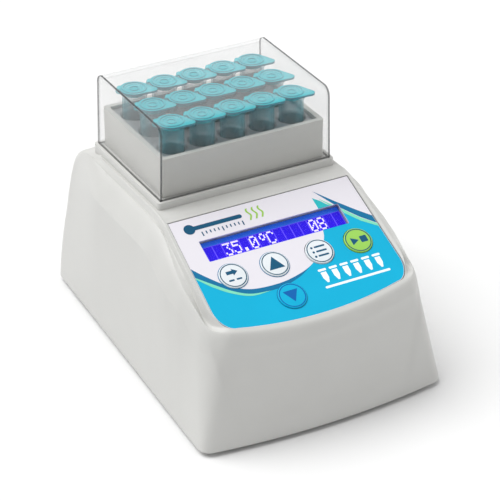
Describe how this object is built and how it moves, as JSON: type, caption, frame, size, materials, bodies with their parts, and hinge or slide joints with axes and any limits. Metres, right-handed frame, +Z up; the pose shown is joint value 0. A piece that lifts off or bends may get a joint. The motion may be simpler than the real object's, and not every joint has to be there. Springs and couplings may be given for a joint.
{
  "type": "dry block heater",
  "caption": "Compact bench dry block heater with a sloped control panel, a display, round keys, capped microtubes in a heated block and a clear lift-off lid.",
  "frame": {"origin": "on the surface that the feet stand on, under the middle of the bounding box", "axes": "+X to the right as the user sees the control panel, +Y to the back, +Z up"},
  "size_m": [0.116, 0.1669, 0.1156],
  "materials": {
    "housing_plastic": "moulded ABS, fine satin texture, light warm grey",
    "base_plastic": "moulded ABS, satin, mid grey",
    "collar_plastic": "moulded heat-resistant plastic, satin, warm grey",
    "clear_acrylic": "clear polished acrylic",
    "tube_plastic": "tinted translucent polypropylene, teal",
    "aluminium": "clear-anodised, bead-blasted",
    "overlay_film": "printed polyester film, satin gloss",
    "button_film": "printed polyester film over the key, satin gloss",
    "start_button_film": "printed polyester film over the key, green, satin gloss",
    "lcd_glass": "backlit blue character display",
    "steel": "bright zinc-plated steel",
    "circuit_board": "glass-fibre board with green solder mask",
    "black_plastic": "moulded nylon, satin black",
    "rubber": "soft black rubber",
    "silicone": "silicone rubber heating mat",
    "foam": "closed-cell insulating foam",
    "cable_red": "silicone-insulated lead",
    "cable_grey": "PVC-insulated lead"
  },
  "bodies": {
    "casing": {"upper_housing": "housing_plastic", "base_plate": "base_plastic", "block_surround": "collar_plastic", "control_overlay": "overlay_film", "lcd_window": "clear_acrylic", "lcd_bezel": "steel", "lcd_glass": "lcd_glass", "display_board": "circuit_board", "main_board": "circuit_board", "heater_plate": "aluminium", "heater_mat": "silicone", "insulation_pad": "foam", "sensor_probe": "steel", "thermal_cutoff": "black_plastic", "rear_panel": "black_plastic", "power_switch_frame": "black_plastic", "power_jack": "black_plastic", "ribbon_cable": "cable_grey", "heater_leads": "cable_red", "sensor_lead": "cable_grey", "foot_1": "rubber", "base_screw_1": "steel", "plate_screw_1": "steel", "foot_2": "rubber", "base_screw_2": "steel", "plate_screw_2": "steel", "foot_3": "rubber", "base_screw_3": "steel", "plate_screw_3": "steel", "foot_4": "rubber", "base_screw_4": "steel", "plate_screw_4": "steel", "switch_shift": "black_plastic", "switch_up": "black_plastic", "switch_program": "black_plastic", "switch_start_stop": "black_plastic", "switch_down": "black_plastic"},
    "lid": {"clear_lid": "clear_acrylic"},
    "block": {"heat_block": "aluminium"},
    "rocker": {"power_switch_rocker": "black_plastic"},
    "button_shift": {"button_shift": "button_film"},
    "button_up": {"button_up": "button_film"},
    "button_program": {"button_program": "button_film"},
    "button_start_stop": {"button_start_stop": "start_button_film"},
    "button_down": {"button_down": "button_film"},
    "tube_01": {"tube_01": "tube_plastic"},
    "tube_02": {"tube_02": "tube_plastic"},
    "tube_03": {"tube_03": "tube_plastic"},
    "tube_04": {"tube_04": "tube_plastic"},
    "tube_05": {"tube_05": "tube_plastic"},
    "tube_06": {"tube_06": "tube_plastic"},
    "tube_07": {"tube_07": "tube_plastic"},
    "tube_08": {"tube_08": "tube_plastic"},
    "tube_09": {"tube_09": "tube_plastic"},
    "tube_10": {"tube_10": "tube_plastic"},
    "tube_11": {"tube_11": "tube_plastic"},
    "tube_12": {"tube_12": "tube_plastic"},
    "tube_13": {"tube_13": "tube_plastic"},
    "tube_14": {"tube_14": "tube_plastic"},
    "tube_15": {"tube_15": "tube_plastic"}
  },
  "joints": [
    {"name": "lid_lift", "type": "slide", "parent": "casing", "child": "lid", "axis": [0, 0, 1], "range_m": [0, 0.06]},
    {"name": "block_lift", "type": "slide", "parent": "casing", "child": "block", "axis": [0, 0, 1], "range_m": [0, 0.0015]},
    {"name": "power_rocker", "type": "hinge", "parent": "casing", "child": "rocker", "pos_m": [-0.015, 0.0781, 0.024], "axis": [0, 0, 1], "range_deg": [0, 16]},
    {"name": "press_shift", "type": "slide", "parent": "casing", "child": "button_shift", "axis": [0, 0.4258, -0.9048], "range_m": [0, 0.0005], "stiffness_N_per_m": 1500},
    {"name": "press_up", "type": "slide", "parent": "casing", "child": "button_up", "axis": [0, 0.4258, -0.9048], "range_m": [0, 0.0005], "stiffness_N_per_m": 1500},
    {"name": "press_program", "type": "slide", "parent": "casing", "child": "button_program", "axis": [0, 0.4258, -0.9048], "range_m": [0, 0.0005], "stiffness_N_per_m": 1500},
    {"name": "press_start_stop", "type": "slide", "parent": "casing", "child": "button_start_stop", "axis": [0, 0.4258, -0.9048], "range_m": [0, 0.0005], "stiffness_N_per_m": 1500},
    {"name": "press_down", "type": "slide", "parent": "casing", "child": "button_down", "axis": [0, 0.4258, -0.9048], "range_m": [0, 0.0005], "stiffness_N_per_m": 1500},
    {"name": "tube_lift_01", "type": "slide", "parent": "block", "child": "tube_01", "axis": [0, 0, 1], "range_m": [0, 0.002]},
    {"name": "tube_lift_02", "type": "slide", "parent": "block", "child": "tube_02", "axis": [0, 0, 1], "range_m": [0, 0.002]},
    {"name": "tube_lift_03", "type": "slide", "parent": "block", "child": "tube_03", "axis": [0, 0, 1], "range_m": [0, 0.002]},
    {"name": "tube_lift_04", "type": "slide", "parent": "block", "child": "tube_04", "axis": [0, 0, 1], "range_m": [0, 0.002]},
    {"name": "tube_lift_05", "type": "slide", "parent": "block", "child": "tube_05", "axis": [0, 0, 1], "range_m": [0, 0.002]},
    {"name": "tube_lift_06", "type": "slide", "parent": "block", "child": "tube_06", "axis": [0, 0, 1], "range_m": [0, 0.002]},
    {"name": "tube_lift_07", "type": "slide", "parent": "block", "child": "tube_07", "axis": [0, 0, 1], "range_m": [0, 0.002]},
    {"name": "tube_lift_08", "type": "slide", "parent": "block", "child": "tube_08", "axis": [0, 0, 1], "range_m": [0, 0.002]},
    {"name": "tube_lift_09", "type": "slide", "parent": "block", "child": "tube_09", "axis": [0, 0, 1], "range_m": [0, 0.002]},
    {"name": "tube_lift_10", "type": "slide", "parent": "block", "child": "tube_10", "axis": [0, 0, 1], "range_m": [0, 0.002]},
    {"name": "tube_lift_11", "type": "slide", "parent": "block", "child": "tube_11", "axis": [0, 0, 1], "range_m": [0, 0.002]},
    {"name": "tube_lift_12", "type": "slide", "parent": "block", "child": "tube_12", "axis": [0, 0, 1], "range_m": [0, 0.002]},
    {"name": "tube_lift_13", "type": "slide", "parent": "block", "child": "tube_13", "axis": [0, 0, 1], "range_m": [0, 0.002]},
    {"name": "tube_lift_14", "type": "slide", "parent": "block", "child": "tube_14", "axis": [0, 0, 1], "range_m": [0, 0.002]},
    {"name": "tube_lift_15", "type": "slide", "parent": "block", "child": "tube_15", "axis": [0, 0, 1], "range_m": [0, 0.002]}
  ]
}
